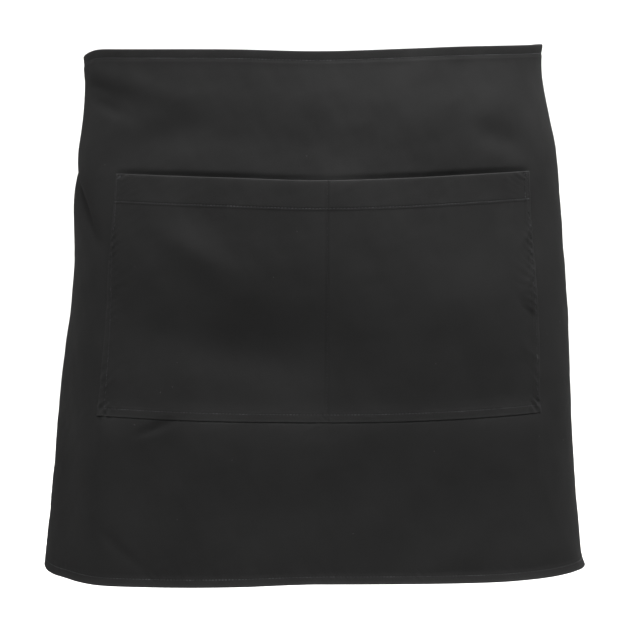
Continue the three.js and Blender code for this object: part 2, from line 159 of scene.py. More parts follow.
# Where the lights hang and what they light, in metres: a place, an aim, a side length and a power in watts.
LIGHTS = table(
    "name x y z aim_x aim_y aim_z size power",
    ("key softbox", 0.59, -0.2, 0.84, 0.0, -0.1, -0.2, 0.6, 30),
    ("top softbox", 0.0, -0.33, 1.08, 0.0, -0.1, -0.2, 0.8, 48),
    ("left softbox", -0.55, -0.45, 0.85, -0.2, -0.1, -0.1, 0.6, 15),
    ("front softbox", -0.62, -2.41, 0.01, 0.0, -0.1, -0.2, 1.0, 5),
    ("front right softbox", 0.79, -2.28, 0.42, 0.0, -0.1, -0.2, 1.0, 18),
    ("back softbox", 0.35, 1.3, 0.75, 0.0, 0.1, -0.2, 0.8, 20),
    ("backdrop softbox", 0.0, 2.6, 2.6, 0.0, 7.2, -0.5, 2.0, 330),
)

# A bow loop seen from above, from the knot out along its outer side and back along its inner one.
LOOP_OUTLINE = table(
    "along apart",
    (0.0, 0.1),
    (0.28, 0.42),
    (0.62, 0.62),
    (0.88, 0.44),
    (1.0, 0.12),
    (0.92, -0.2),
    (0.66, -0.36),
    (0.32, -0.28),
    (0.0, -0.1),
)

# A hanging tie end. down, side and out are shares of its length, and twist turns the tape, in degrees.
TAIL_ROUTE = table(
    "down side out twist",
    (0.0, 0.0, 0.0, 0),
    (0.03, 0.0, 0.0, 0),
    (0.22, 0.05, 0.03, 8),
    (0.5, 0.1, 0.0, -10),
    (0.76, 0.11, 0.015, -4),
    (1.0, 0.15, -0.01, 12),
)


def linear(hex_value):
    """An sRGB hex colour as linear red, green and blue."""
    shades = np.array([int(hex_value[i : i + 2], 16) / 255 for i in (1, 3, 5)])
    return tuple(np.where(shades <= 0.04045, shades / 12.92, ((shades + 0.055) / 1.055) ** 2.4))


def length(name, millimetres, description):
    """A length among the sizes, given in millimetres and kept in metres."""
    default = millimetres * MM
    return FloatProperty(name=name, description=description, default=default, unit="LENGTH", precision=4)


def colour(name, hex_value, description):
    """A colour among the settings, given as sRGB hex and kept linear."""
    default = linear(hex_value)
    return FloatVectorProperty(
        name=name, description=description, default=default, subtype="COLOR", min=0, max=1
    )


class ApronSizes(bpy.types.PropertyGroup):
    """The apron's real sizes."""

    skirt_width: length("Skirt width", 700, "Width of the flat skirt")
    skirt_length: length("Skirt length", 503, "Length of the flat skirt, from top edge to hem")
    skirt_shift: length("Shift", 10, "How far the skirt is turned round the wearer, to the right")
    cloth: length("Cloth", 0.9, "Thickness of the twill")
    waist_hem: length("Waist hem", 10, "Height of the hem along the top edge")
    edge_hem: length("Edge hem", 8, "Width of the hems at the sides and the foot")
    hem_turn: length("Hem turn", 0.9, "How much the turned hem adds inside")
    waist_reach: length("Waist reach", 224, "Half the width of the oval at the waist")
    waist_front: length("Waist front", 135, "Depth of the oval before the origin")
    waist_back: length("Waist back", 125, "Depth of the oval behind the origin")
    drape_rise: length("Drape rise", 10, "Scale of the rises of the cloth's level lines")
    back_rise: length("Back rise", -8, "Rise of the ties at the middle of the back")
    fold_rise: length("Fold rise", 5, "Height of a full soft fold")
    crease_rise: length("Crease rise", 1.2, "Height of a full crease")
    rumple: length("Rumple", 0.11, "Height of the cloth's faint unevenness")
    pocket_drop: length("Pocket drop", 121, "From the top edge down to the pocket's mouth")
    pocket_height: length("Pocket height", 228, "From the pocket's mouth to its foot")
    pocket_mouth: length("Pocket mouth", 424, "Width of the pocket at its mouth")
    pocket_foot: length("Pocket foot", 446, "Width of the pocket at its foot")
    pocket_band: length("Pocket band", 28, "Height of the hem along the pocket's mouth")
    pocket_belly: length("Pocket belly", 3.8, "How far each half of the mouth stands out")
    skirt_hollow: length("Skirt hollow", 1.4, "How far the skirt sinks behind the mouth")
    hollow_fade: length("Hollow fade", 6, "Height over which that hollow starts, above the mouth")
    divider_offset: length("Divider offset", 3, "How far the pocket's middle lies left of its divider")
    tie_width: length("Tie width", 22, "Width of the tape")
    tie_thickness: length("Tie thickness", 1.5, "Thickness of the folded tape")
    tie_overlap: length("Tie overlap", 24, "How far a tie is sewn onto the skirt")
    tie_pinch: length("Tie pinch", 13, "Width of the tape where it enters the knot")
    knot_width: length("Knot width", 24, "Width of the knot")
    knot_height: length("Knot height", 28, "Height of the knot")
    knot_depth: length("Knot depth", 20, "Depth of the knot")
    loop_length: length("Loop length", 112, "Length of a bow loop")
    loop_opening: length("Loop opening", 30, "How far a bow loop stands open")
    tail_length: length("Tail length", 235, "Length of a hanging tie end")
    thread: length("Thread", 0.55, "Thickness of the sewing thread")
    stitch: length("Stitch", 3.2, "Length of a stitch with its gap")
    seed: IntProperty(name="Seed", description="Seed of the cloth's random unevenness", default=7)


class ApronFinish(bpy.types.PropertyGroup):
    """The colours of the cloth, the thread and the lint on them."""

    dye: colour("Dye", "#1b1b1b", "Black reactive dye on the cotton")
    # Partly the dye rubbed off folded edges and partly a painted highlight where those edges catch the
    # light.
    worn_dye_and_edge_highlight: colour("Worn dye", "#2e2e2e", "The same dye where folded edges have rubbed")
    thread_dye: colour("Thread", "#171718", "Black polyester and cotton thread")
    # A painted highlight: stretches of thread painted grey stand in for stitches catching the light.
    painted_thread_highlight: colour("Worn thread", "#38383a", "The same thread where it has rubbed")
    lint: colour("Lint", "#8a8a88", "Cotton lint caught on the twill")
    weave_pitch: length("Weave pitch", 0.9, "Spacing of the twill's diagonal ribs as drawn")


class StudioSettings(bpy.types.PropertyGroup):
    """The camera, the backdrop and the daylight."""

    distance: length("Camera distance", 3200, "From the waist's middle to the camera")
    aside: length("Camera aside", 3.3, "How far the camera stands to the right")
    pitch: FloatProperty(
        name="Pitch", description="How far the camera looks down", default=np.radians(4.66), subtype="ANGLE"
    )
    lens: FloatProperty(
        name="Lens", description="Focal length in millimetres", default=182.8, subtype="DISTANCE_CAMERA"
    )
    floor_drop: length("Floor drop", 1000, "From the waist down to the floor")
    floor_reach: length("Floor reach", 7000, "Radius of the flat floor")
    sweep: length("Sweep", 1500, "Radius of the curve from the floor to the wall")
    wall: length("Wall", 2500, "Height of the wall above that curve")
    paper: colour("Paper", "#f4f4f3", "Matt white backdrop paper")
    daylight: FloatProperty(
        name="Daylight", description="Strength of the light from all round", default=0.35, min=0
    )


def between(rows, key, column, place):
    """A table's column at places between its rows, which the key column orders.

    Cubic Hermite pieces. The slope at a row is the mean of the slopes on its two sides, or none where the
    row stands above or below both neighbours, so the curve keeps within the rows.
    """
    x, y = rows[key], rows[column]
    step = np.diff(y) / np.diff(x)
    inner = np.where(step[:-1] * step[1:] <= 0, 0, (step[:-1] + step[1:]) / 2)
    slope = np.concatenate([step[:1], inner, step[-1:]])
    place = np.clip(place, x[0], x[-1])
    row = np.clip(np.searchsorted(x, place, side="right") - 1, 0, len(x) - 2)
    span = x[row + 1] - x[row]
    s = (place - x[row]) / span
    return (
        (2 * s**3 - 3 * s**2 + 1) * y[row]
        + (s**3 - 2 * s**2 + s) * span * slope[row]
        + (3 * s**2 - 2 * s**3) * y[row + 1]
        + (s**3 - s**2) * span * slope[row + 1]
    )


def smooth(low, high, value):
    """0 below low, 1 above high and an even S between them."""
    s = np.clip((value - low) / (high - low), 0, 1)
    return s * s * (3 - 2 * s)


def rounded(distance, radius):
    """0 at an edge and 1 from a radius in, rising as a quarter circle does."""
    s = np.clip(distance / radius, 0, 1)
    return np.sqrt(1 - (1 - s) ** 2)


def places(*stops):
    """Places along a line.

    The stops are a place, the largest step up to the next place, that place, and so on.
    """
    line = [np.array([stops[0]], float)]
    for start, step, end in zip(stops[0:-2:2], stops[1:-1:2], stops[2::2]):
        line.append(np.linspace(start, end, int(np.ceil((end - start) / step)) + 1)[1:])
    return np.concatenate(line)


def wander(across, down, wavelength, seed, waves=16):
    """Smooth random relief of about unit height: a sum of plane waves with seeded headings and phases."""
    rng = np.random.default_rng(seed)
    total = 0
    for heading, phase, stretch in zip(
        rng.uniform(0, np.pi, waves), rng.uniform(0, 2 * np.pi, waves), rng.uniform(0.7, 1.6, waves)
    ):
        turn = 2 * np.pi / (wavelength * stretch)
        total = total + np.sin(turn * (across * np.cos(heading) + down * np.sin(heading)) + phase)
    return total * np.sqrt(2 / waves)


RIDGE_RISE = 1.8 * MM
RIDGE_RUN = 18 * MM
ROPE_PITCH = 8.5 * MM
GAUSS_PLACE, GAUSS_WEIGHT = np.polynomial.legendre.leggauss(12)


def arc_length(first, second, turn):
    """Length of the arc (first sin t, second cos t) from 0 to the turn, by Gauss's rule on its speed."""
    t = turn[..., None] * (GAUSS_PLACE + 1) / 2
    speed = np.hypot(first[..., None] * np.cos(t), second[..., None] * np.sin(t))
    return (speed * GAUSS_WEIGHT).sum(-1) * turn / 2


def turn_at(first, second, way):
    """The turn at which that arc has a length, by Newton's steps."""
    turn = 2 * way / (first + second)
    for _ in range(5):
        speed = np.hypot(first * np.cos(turn), second * np.sin(turn))
        turn = turn - (arc_length(first, second, turn) - way) / speed
    return turn


class Drape:
    """Where each point of the flat cloth lies on the wearer."""

    def __init__(self, sizes):
        self.sizes = sizes

    def oval(self, round_, drop):
        """The point of the oval at a way round it from the middle of the front, at a share of the drop.

        Front: (reach sin t, -front cos t). Behind the widest place: (reach cos t, back sin t).
        """
        s = self.sizes
        left, right = (between(SECTIONS, "drop", side, drop) for side in ("left", "right"))
        reach = s.waist_reach * np.where(round_ < 0, left, right)
        front = s.waist_front * between(SECTIONS, "drop", "front", drop)
        back = np.full_like(reach, s.waist_back)
        quarter = arc_length(reach, front, np.full_like(reach, np.pi / 2))
        turn = turn_at(reach, front, np.minimum(np.abs(round_), quarter))
        beyond = np.maximum(np.abs(round_) - quarter, 0)
        past = turn_at(back, reach, beyond)
        x = np.sign(round_) * reach * np.where(beyond > 0, np.cos(past), np.sin(turn))
        y = np.where(beyond > 0, back * np.sin(past), -front * np.cos(turn))
        return x, y

    def half_round(self, side):
        """Half the way round the waist, on one side."""
        s = self.sizes
        reach = np.array(s.waist_reach * SECTIONS["left" if side < 0 else "right"][0])
        quarter_turn = np.array(np.pi / 2)
        front = arc_length(reach, np.array(s.waist_front), quarter_turn)
        back = arc_length(np.array(s.waist_back), reach, quarter_turn)
        return float(front + back)

    def level_rise(self, across, drop):
        """Rise of the level lines: a parabola down the cloth through its rises at top, middle and hem.

        Past the skirt's sides it eases to the ties' sag at the back.
        """
        s = self.sizes
        half = s.skirt_width / 2
        share = np.clip(across / half, -1, 1)
        top, middle, hem = (between(LEVELS, "across", column, share) for column in ("top", "middle", "hem"))
        rise = (1 - drop) * (1 - 2 * drop) * top + 4 * drop * (1 - drop) * middle
        rise = rise + drop * (2 * drop - 1) * hem
        to_back = np.where(
            across < 0,
            self.half_round(-1) - half + s.skirt_shift,
            self.half_round(1) - half - s.skirt_shift,
        )
        ease = smooth(0, 1, (np.abs(across) - half) / to_back)
        return s.drape_rise * rise * (1 - ease) + s.back_rise * ease

    def surface(self, across, down):
        """The cloth's middle surface, before its folds."""
        s = self.sizes
        across, down = np.broadcast_arrays(np.asarray(across, float), np.asarray(down, float))
        drop = np.clip(down / s.skirt_length, 0, 1)
        x, y = self.oval(across + s.skirt_shift, drop)
        return np.stack([x, y, -down + self.level_rise(across, drop)], -1)

    def skin(self, across, down, lift):
        """The surface moved outward by lift, square to the cloth."""
        step = 1 * MM
        sideways = self.surface(across + step, down) - self.surface(across - step, down)
        downward = self.surface(across, down + step) - self.surface(across, down - step)
        normal = np.cross(downward, sideways)
        normal /= np.linalg.norm(normal, axis=-1, keepdims=True)
        return self.surface(across, down) + normal * np.asarray(lift)[..., None]

    def folds(self, rows, height, across, down):
        """A sum of long smooth bumps: each falls off as a bell curve along and beside its own line."""
        s = self.sizes
        rise = 0
        for fold in rows:
            lean = np.radians(fold["lean"])
            x = across - fold["across"] * s.skirt_width / 2
            y = down - fold["drop"] * s.skirt_length
            lengthwise = (y * np.cos(lean) + x * np.sin(lean)) / (fold["long"] * s.skirt_length)
            sideways = (x * np.cos(lean) - y * np.sin(lean)) / (fold["wide"] * s.skirt_length)
            rise = rise + height * fold["rise"] * np.exp(-(lengthwise**2) - sideways**2)
        return rise

    def relief(self, across, down):
        """The folds, creases and faint unevenness that the skirt and the pocket on it share."""
        s = self.sizes
        rise = self.folds(FOLDS, s.fold_rise, across, down)
        rise = rise + self.folds(CREASES, s.crease_rise, across, down) + self.foot_ridge(across, down)
        rise = rise + s.rumple * wander(across, down, 34 * MM, s.seed)
        return rise + 0.5 * s.rumple * wander(across, down, 13 * MM, s.seed + 1)

    def foot_ridge(self, across, down):
        """The cloth swells towards the pocket's stiff foot and falls back slowly below it."""
        s = self.sizes
        below = down - s.pocket_drop - s.pocket_height
        along = 1 - smooth(0.97, 1.06, self.share_of_half(across, down))
        return RIDGE_RISE * along * smooth(-RIDGE_RUN, 0, below) * (1 - smooth(8 * MM, 90 * MM, below))

    def pocket_edge(self, side, down):
        """Where the pocket's side lies: a straight line that splays from mouth to foot."""
        s = self.sizes
        share = (down - s.pocket_drop) / s.pocket_height
        width = s.pocket_mouth + (s.pocket_foot - s.pocket_mouth) * share
        return side * width / 2 - s.divider_offset * (share + 0.5)

    def share_of_half(self, across, down):
        """0 at the divider and 1 at the pocket's side."""
        return np.abs(across) / np.abs(self.pocket_edge(np.where(across < 0, -1, 1), down))

    def arch(self, across, down):
        """1 in the middle of each half of the pocket and 0 at its seams: a half sine to the power 0.7."""
        share = self.share_of_half(across, down)
        return np.where(share >= 1, 0, np.sin(np.pi * np.clip(share, 0, 1)) ** 0.7)

    def belly(self, across, down):
        """How far the pocket stands out: an arch over each half, fading as a cosine from mouth to foot."""
        s = self.sizes
        depth = np.clip((down - s.pocket_drop) / s.pocket_height, 0, 1)
        return s.pocket_belly * self.arch(across, down) * np.cos(np.pi / 2 * depth)

    def hollow(self, across, down):
        """How far the skirt sinks behind the mouth, fading above it and below it.

        It is a flatter arch that doesn't quite close at the divider.
        """
        s = self.sizes
        depth = (down - s.pocket_drop) / s.pocket_height
        above = smooth(s.pocket_drop - s.hollow_fade, s.pocket_drop, down)
        under = 0.4 * (1 - smooth(0.9, 1, self.share_of_half(across, down)))
        share = np.maximum(np.sqrt(self.arch(across, down)), under)
        return s.skirt_hollow * share * above * (1 - smooth(0.2, 0.95, depth))

    def puckers(self, name, along, distance):
        """The small slanting puckers that a row of stitches draws in the cloth beside it.

        Sines along the row that lean with the distance from it, wander in place and strength, and fall
        off as a bell curve.
        """
        row = PUCKERS[PUCKERS["name"] == name][0]
        seed = self.sizes.seed + int(row["seed"])
        slant = along + 0.7 * distance + 2.2 * MM * wander(along, distance, 40 * MM, seed)
        strength = 0.6 + 0.4 * wander(along, distance, 55 * MM, seed + 1)
        fall = np.exp(-((distance / (row["reach"] * MM)) ** 2))
        return row["rise"] * MM * np.sin(2 * np.pi * slant / ROPE_PITCH) * strength * fall


def groove(distance, depth=0.28 * MM, width=0.8 * MM):
    """The dent that a row of stitches pulls into the cloth."""
    return -depth * np.exp(-((distance / width) ** 2))


class ClothFaces:
    """The outer and the inner face of a draped cloth."""

    def __init__(self, drape):
        self.drape = drape
        self.sizes = drape.sizes

    def outer(self, across, down, lift=0.0):
        """The outer face, moved outward by lift."""
        return self.face(across, down, 1, lift)

    def inner(self, across, down, lift=0.0):
        """The inner face, moved inward by lift."""
        return self.face(across, down, -1, lift)


class SkirtFaces(ClothFaces):
    """The skirt's outer and inner faces, with their hems."""

    waist_seam = 1.2 * MM
    edge_seam = 1.2 * MM
    hem_ridge = 0.12 * MM
    top_lean = 0.9 * MM
    top_roll = 0.3 * MM
    foot_flare = 4.3 * MM
    flare_run = 60 * MM

    def to_edges(self, across, down):
        """Distances to the nearest side, to the top edge and to the foot."""
        s = self.sizes
        return s.skirt_width / 2 - np.abs(across), down, s.skirt_length - down

    def in_hem(self, across, down):
        """1 where the cloth is doubled by a hem, and 0 elsewhere."""
        s = self.sizes
        side, top, foot = self.to_edges(across, down)
        rows = [(side, s.edge_hem), (top, s.waist_hem), (foot, s.edge_hem)]
        return 1 - np.prod([smooth(-0.25 * MM, 0.25 * MM, d - hem) for d, hem in rows], axis=0)

    def seams(self, across, down):
        """The hems' stitched rows, puckers and lean, and the cloth that comes out below the pocket."""
        s = self.sizes
        puckers = self.drape.puckers
        side, top, foot = self.to_edges(across, down)
        rise = groove(top - s.waist_hem + self.waist_seam)
        rise = rise + groove(side - s.edge_hem + self.edge_seam)
        rise = rise + groove(foot - s.edge_hem + self.edge_seam)
        rise = rise + puckers("foot hem", across, foot - s.edge_hem)
        rise = rise + puckers("waist hem", across, top - s.waist_hem)
        rise = rise + puckers("side hem", down, side - s.edge_hem)
        rise = rise + self.top_lean * (1 - smooth(0, s.waist_hem, top))
        rise = rise + self.top_roll * np.exp(-(((top - s.waist_hem - 2 * MM) / (1.6 * MM)) ** 2))
        flare = self.foot_flare * np.clip(1 - foot / (1.5 * s.edge_hem), 0, 1) ** 2
        rise = rise + flare * smooth(0, self.flare_run, side)
        below = down - s.pocket_drop - s.pocket_height
        inside = 1 - smooth(0.96, 1.02, self.drape.share_of_half(across, down))
        step = 0.7 * MM * smooth(0.2 * MM, 1.8 * MM, below)
        out = step + 1.3 * MM * (1 - np.exp(-np.maximum(below, 0) / (4 * MM)))
        rise = rise + inside * out * (1 - smooth(8 * MM, 70 * MM, below))
        return rise + inside * puckers("below pocket", across, below)

    def face(self, across, down, side, lift):
        """The outer face for side 1 and the inner one for side -1, which meet in round edges."""
        s = self.sizes
        edge = np.min(self.to_edges(across, down), axis=0)
        hem = self.in_hem(across, down)
        half = (s.cloth + s.hem_turn * hem) / 2
        rise = self.drape.relief(across, down) - self.drape.hollow(across, down) + self.seams(across, down)
        middle = rise - s.hem_turn * hem / 2 + self.hem_ridge * hem
        return self.drape.skin(across, down, middle + side * (half * rounded(edge, half) + lift))


class PocketFaces(ClothFaces):
    """The pocket's outer and inner faces: a banded mouth, and edges turned under at its sides and foot."""

    turn = 9 * MM
    left_seam_mouth = 2 * MM
    left_seam = 8 * MM
    right_seam = 4 * MM
    foot_seam = 7 * MM
    band_seam = 1.6 * MM
    seat_gap = 0.15 * MM
    edge_radius = 0.8 * MM
    divider_dent = 0.9 * MM
    divider_width = 1.2 * MM

    def to_edges(self, across, down):
        """Distances to the side, to the mouth and to the foot."""
        s = self.sizes
        side = np.abs(self.drape.pocket_edge(np.where(across < 0, -1, 1), down)) - np.abs(across)
        return side, down - s.pocket_drop, s.pocket_drop + s.pocket_height - down

    def left_inset(self, down):
        """How far the left row of stitches lies inside the pocket's side: more towards the foot."""
        s = self.sizes
        share = np.clip((down - s.pocket_drop) / (s.pocket_height - self.foot_seam), 0, 1)
        return self.left_seam_mouth + (self.left_seam - self.left_seam_mouth) * share

    def swell(self, across, down):
        """What the turned edges, the band, the stitched rows and their puckers add on the outside."""
        s = self.sizes
        puckers = self.drape.puckers
        side, mouth, foot = self.to_edges(across, down)
        doubled = 1 - smooth(-0.5 * MM, 0.5 * MM, np.minimum(side, foot) - self.turn)
        band = 1 - smooth(-0.4 * MM, 0.4 * MM, mouth - s.pocket_band)
        seam = side - np.where(across < 0, self.left_inset(down), self.right_seam)
        rise = 0.2 * MM * doubled + 0.4 * MM * band
        rise = rise + groove(seam) + groove(foot - self.foot_seam)
        rise = rise + groove(mouth - s.pocket_band + self.band_seam, 0.35 * MM)
        rise = rise + groove(across, self.divider_dent, self.divider_width)
        rise = rise + puckers("pocket side", down, seam)
        rise = rise + puckers("pocket foot", across, foot - self.foot_seam)
        rise = rise + puckers("pocket band", across, mouth - s.pocket_band)
        return rise + puckers("divider", down, across)

    def face(self, across, down, side, lift):
        """The outer face for side 1 and the inner one for side -1, which meet in a round edge."""
        s = self.sizes
        edge = np.min(self.to_edges(across, down), axis=0)
        seat = s.cloth / 2 + self.seat_gap
        back = self.drape.relief(across, down) + seat + self.drape.belly(across, down)
        front = back + s.cloth + self.swell(across, down)
        middle, half = (front + back) / 2, (front - back) / 2
        half = half * rounded(edge, self.edge_radius)
        return self.drape.skin(across, down, middle + side * (half + lift))


class TieFaces:
    """A tie's outer and inner faces, along the waist's oval from the skirt's side to the knot."""

    def __init__(self, drape):
        self.drape = drape
        self.sizes = drape.sizes

    def middle(self, across, breadth):
        """Lift of the tape's middle: inside the skirt's hem, and on round the back at the same depth."""
        s = self.sizes
        rise = self.drape.relief(across, s.tie_width / 2 + breadth)
        settle = 0.5 * MM * wander(across, breadth, 60 * MM, s.seed + 3)
        free = smooth(0, 25 * MM, np.abs(across) - s.skirt_width / 2)
        return rise - s.cloth / 2 - s.hem_turn - 0.1 * MM - s.tie_thickness / 2 + settle * free

    def face(self, across, breadth, lift):
        """The tape's middle, moved outward by lift."""
        down = self.sizes.tie_width / 2 + breadth
        return self.drape.skin(across, down, self.middle(across, breadth) + lift)


class Tape:
    """A tape along a smooth path, with its breadth leaning one way and pleats where it is pinched."""

    def __init__(self, sizes, points, lean, twist=None, pinched_at_end=False):
        """The tape is pinched where it enters the knot, at the path's start, and maybe at its end too."""
        self.sizes = sizes
        path = even_path(points, 0.5 * MM)
        self.way = np.arange(len(path)) * 0.5 * MM
        self.length = self.way[-1]
        tangent = np.gradient(path, axis=0)
        tangent /= np.linalg.norm(tangent, axis=1, keepdims=True)
        across = np.asarray(lean, float) - tangent * (tangent @ np.asarray(lean, float))[:, None]
        across /= np.linalg.norm(across, axis=1, keepdims=True)
        if twist is not None:
            angle = np.radians(twist(self.way / self.length))[:, None]
            across = across * np.cos(angle) + np.cross(tangent, across) * np.sin(angle)
        from_knot = np.minimum(self.way, self.length - self.way) if pinched_at_end else self.way
        self.open = smooth(0, 2 * sizes.tie_width, from_knot)
        self.path, self.across, self.out = path, across, np.cross(across, tangent)

    def at(self, values, way):
        """Values kept along the path, at any way along it."""
        if values.ndim == 1:
            return np.interp(way, self.way, values)
        return np.stack([np.interp(way, self.way, values[:, i]) for i in range(3)], -1)

    def face(self, way, breadth, lift):
        """Middle + across breadth + out (pleats + lift).

        Three pleats take up the breadth that the pinch loses.
        """
        s = self.sizes
        free = self.at(self.open, way)
        squeeze = s.tie_pinch / s.tie_width
        breadth_now = breadth * (squeeze + (1 - squeeze) * free)
        pleats = 2.4 * MM * (1 - free) * np.cos(2 * np.pi * 1.5 * breadth / s.tie_width + 0.6)
        cup = -0.9 * MM * (2 * breadth / s.tie_width) ** 2 * free
        across = self.at(self.across, way) * breadth_now[..., None]
        return self.at(self.path, way) + across + self.at(self.out, way) * (pleats + cup + lift)[..., None]


def even_path(points, step):
    """Points a step apart on a centripetal Catmull-Rom curve through the given ones.

    Each stretch is a cubic Hermite piece whose knots are spaced by the root of the distance.
    """
    ends = np.vstack([2 * points[0] - points[1], points, 2 * points[-1] - points[-2]])
    gaps = np.sqrt(np.linalg.norm(np.diff(ends, axis=0), axis=1))[:, None]
    chords = np.diff(ends, axis=0) / gaps
    slopes = chords[:-1] + chords[1:] - (ends[2:] - ends[:-2]) / (gaps[:-1] + gaps[1:])
    s = np.linspace(0, 1, 60, endpoint=False)[:, None]
    fine = [
        (2 * s**3 - 3 * s**2 + 1) * p
        + (s**3 - 2 * s**2 + s) * gap * m
        + (3 * s**2 - 2 * s**3) * q
        + (s**3 - s**2) * gap * n
        for p, q, m, n, gap in zip(points[:-1], points[1:], slopes[:-1], slopes[1:], gaps[1:-1])
    ]
    fine = np.vstack([*fine, points[-1:]])
    way = np.concatenate([[0], np.cumsum(np.linalg.norm(np.diff(fine, axis=0), axis=1))])
    even = np.arange(0, way[-1], step)
    return np.stack([np.interp(even, way, fine[:, i]) for i in range(3)], -1)


def add_piece(name, points, faces, material, flat=None, edge_wear_and_highlight=None):
    """A mesh object from points and faces, with its flat cloth coordinates and the mask of its edges, which
    are painted greyer for rubbed dye and for light caught there.
    """
    mesh = bpy.data.meshes.new(name)
    mesh.from_pydata(points, [], faces, shade_flat=False)
    if flat is not None:
        corner = np.empty(len(mesh.loops), int)
        mesh.loops.foreach_get("vertex_index", corner)
        places_on_cloth = np.ascontiguousarray(flat[corner], np.float32).ravel()
        mesh.uv_layers.new(name="Cloth").data.foreach_set("uv", places_on_cloth)
    if edge_wear_and_highlight is not None:
        mesh.attributes.new("edge_wear_and_highlight", "FLOAT", "POINT").data.foreach_set("value", edge_wear_and_highlight.astype(np.float32))
    mesh.materials.append(material)
    piece = bpy.data.objects.new(name, mesh)
    bpy.context.scene.collection.objects.link(piece)
    return piece


def dress(piece, slot, *nodes):
    """The piece rides on the body and stands for CAD nodes, whose parts it hides. The slot is not used."""
    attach(piece, BODY)
    if nodes:
        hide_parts(*nodes)
    return piece


def grid_faces(rows, columns, index):
    """Quads of a grid whose points have these indices, facing the way of down times right."""
    index = index.reshape(rows, columns)
    return np.stack([index[:-1, :-1], index[1:, :-1], index[1:, 1:], index[:-1, 1:]], -1).reshape(-1, 4)


def shell(name, outer, inner, flat, edge_wear_and_highlight, material):
    """A closed cloth from an outer and an inner grid that share their border points."""
    rows, columns = outer.shape[:2]
    border = np.ones((rows, columns), bool)
    border[1:-1, 1:-1] = False
    first = np.arange(rows * columns).reshape(rows, columns)
    second = first.copy()
    second[~border] = rows * columns + np.arange((~border).sum())
    points = np.vstack([outer.reshape(-1, 3), inner[~border]])
    flat_all = np.vstack([flat.reshape(-1, 2), flat[~border]])
    edge_wear_and_highlight_all = np.concatenate([edge_wear_and_highlight.ravel(), edge_wear_and_highlight[~border]])
    faces = np.vstack([grid_faces(rows, columns, first), grid_faces(rows, columns, second)[:, ::-1]])
    return add_piece(name, points, faces.tolist(), material, flat_all, edge_wear_and_highlight_all)


def strip(name, face, ways, half_width, half_thickness, material):
    """A folded tape with round edges and a dented row of stitches along each of them."""
    step, shoulder = 0.15 * MM, half_width - 0.75 * MM
    rows = places(-half_width, step, -shoulder, 0.7 * MM, shoulder, step, half_width)
    along, breadth = np.meshgrid(ways, rows)
    edge = np.min([half_width - np.abs(breadth), along - ways[0], ways[-1] - along], axis=0)
    half = half_thickness * rounded(edge, half_thickness)
    dent = groove(half_width - np.abs(breadth) - TAPE_SEAM, 0.2 * MM)
    outer, inner = face(along, breadth, half + dent), face(along, breadth, -half - dent)
    # Edge mask: rubbed dye and a painted highlight along the tape's edges.
    edge_wear_and_highlight = np.exp(-(edge / (0.9 * MM)))
    return shell(name, outer, inner, np.stack([along, breadth], -1), edge_wear_and_highlight, material)


def stitch_row(face, start, end, thread, pitch, phase=0.0):
    """Stitches along a straight line on a cloth face: points of all of them, one block of rings each.

    A stitch is a four-sided spindle that bows out of the cloth and dives into it at both ends.
    """
    start, end = np.array(start, float), np.array(end, float)
    span = np.linalg.norm(end - start)
    count = max(1, int(span / pitch))
    heading = (end - start) / span
    middles = start + heading * ((np.arange(count) + 0.5 + phase) * span / count)[:, None]
    ring = np.array([-0.5, -0.3, 0, 0.3, 0.5])
    radius = thread / 2 * np.array([0.5, 0.95, 1.0, 0.95, 0.5])
    height = thread * np.array([-0.55, 0.12, 0.3, 0.12, -0.55])
    spoke = np.pi / 2 * np.arange(4)
    along = np.repeat(ring * 0.84 * pitch, 4)
    aside = (radius[:, None] * np.sin(spoke)).ravel()
    lift = (height[:, None] + radius[:, None] * np.cos(spoke)).ravel()
    sideways = np.array([-heading[1], heading[0]])
    place = middles[:, None] + heading * along[:, None] + sideways * aside[:, None]
    return face(place[..., 0], place[..., 1], np.broadcast_to(lift, place.shape[:2]))


def stitch_faces(count):
    """Quads of so many spindles of five rings of four points, closed by a quad at each end."""
    ring, spoke = np.meshgrid(np.arange(4), np.arange(4), indexing="ij")
    a, b = ring * 4 + spoke, ring * 4 + (spoke + 1) % 4
    sides = np.stack([a, a + 4, b + 4, b], -1).reshape(-1, 4)
    caps = np.array([[0, 1, 2, 3], [19, 18, 17, 16]])
    one = np.vstack([sides, caps])
    return (one + 20 * np.arange(count)[:, None, None]).reshape(-1, 4)


def sew(name, rows, material, slot):
    """One mesh of many stitches."""
    points = np.concatenate([row.reshape(-1, 3) for row in rows])
    return dress(add_piece(name, points, stitch_faces(len(points) // 20).tolist(), material), slot)


def add_node(tree, kind, inputs=(), **settings):
    """Adds a shader node. inputs pairs a socket's name or number with a value or with another socket."""
    node = tree.nodes.new(kind)
    for key, value in settings.items():
        setattr(node, key, value)
    for socket, value in dict(inputs).items():
        if isinstance(value, bpy.types.NodeSocket):
            tree.links.new(value, node.inputs[socket])
        else:
            node.inputs[socket].default_value = value
    return node


def new_material(name):
    """An empty material, its node tree and its output."""
    material = bpy.data.materials.new(name)
    material.use_nodes = True
    material.node_tree.nodes.clear()
    return material, material.node_tree


def finish_material(tree, shader):
    """Gives the material its output, from the one shader."""
    add_node(tree, "ShaderNodeOutputMaterial", {"Surface": shader.outputs[0]})


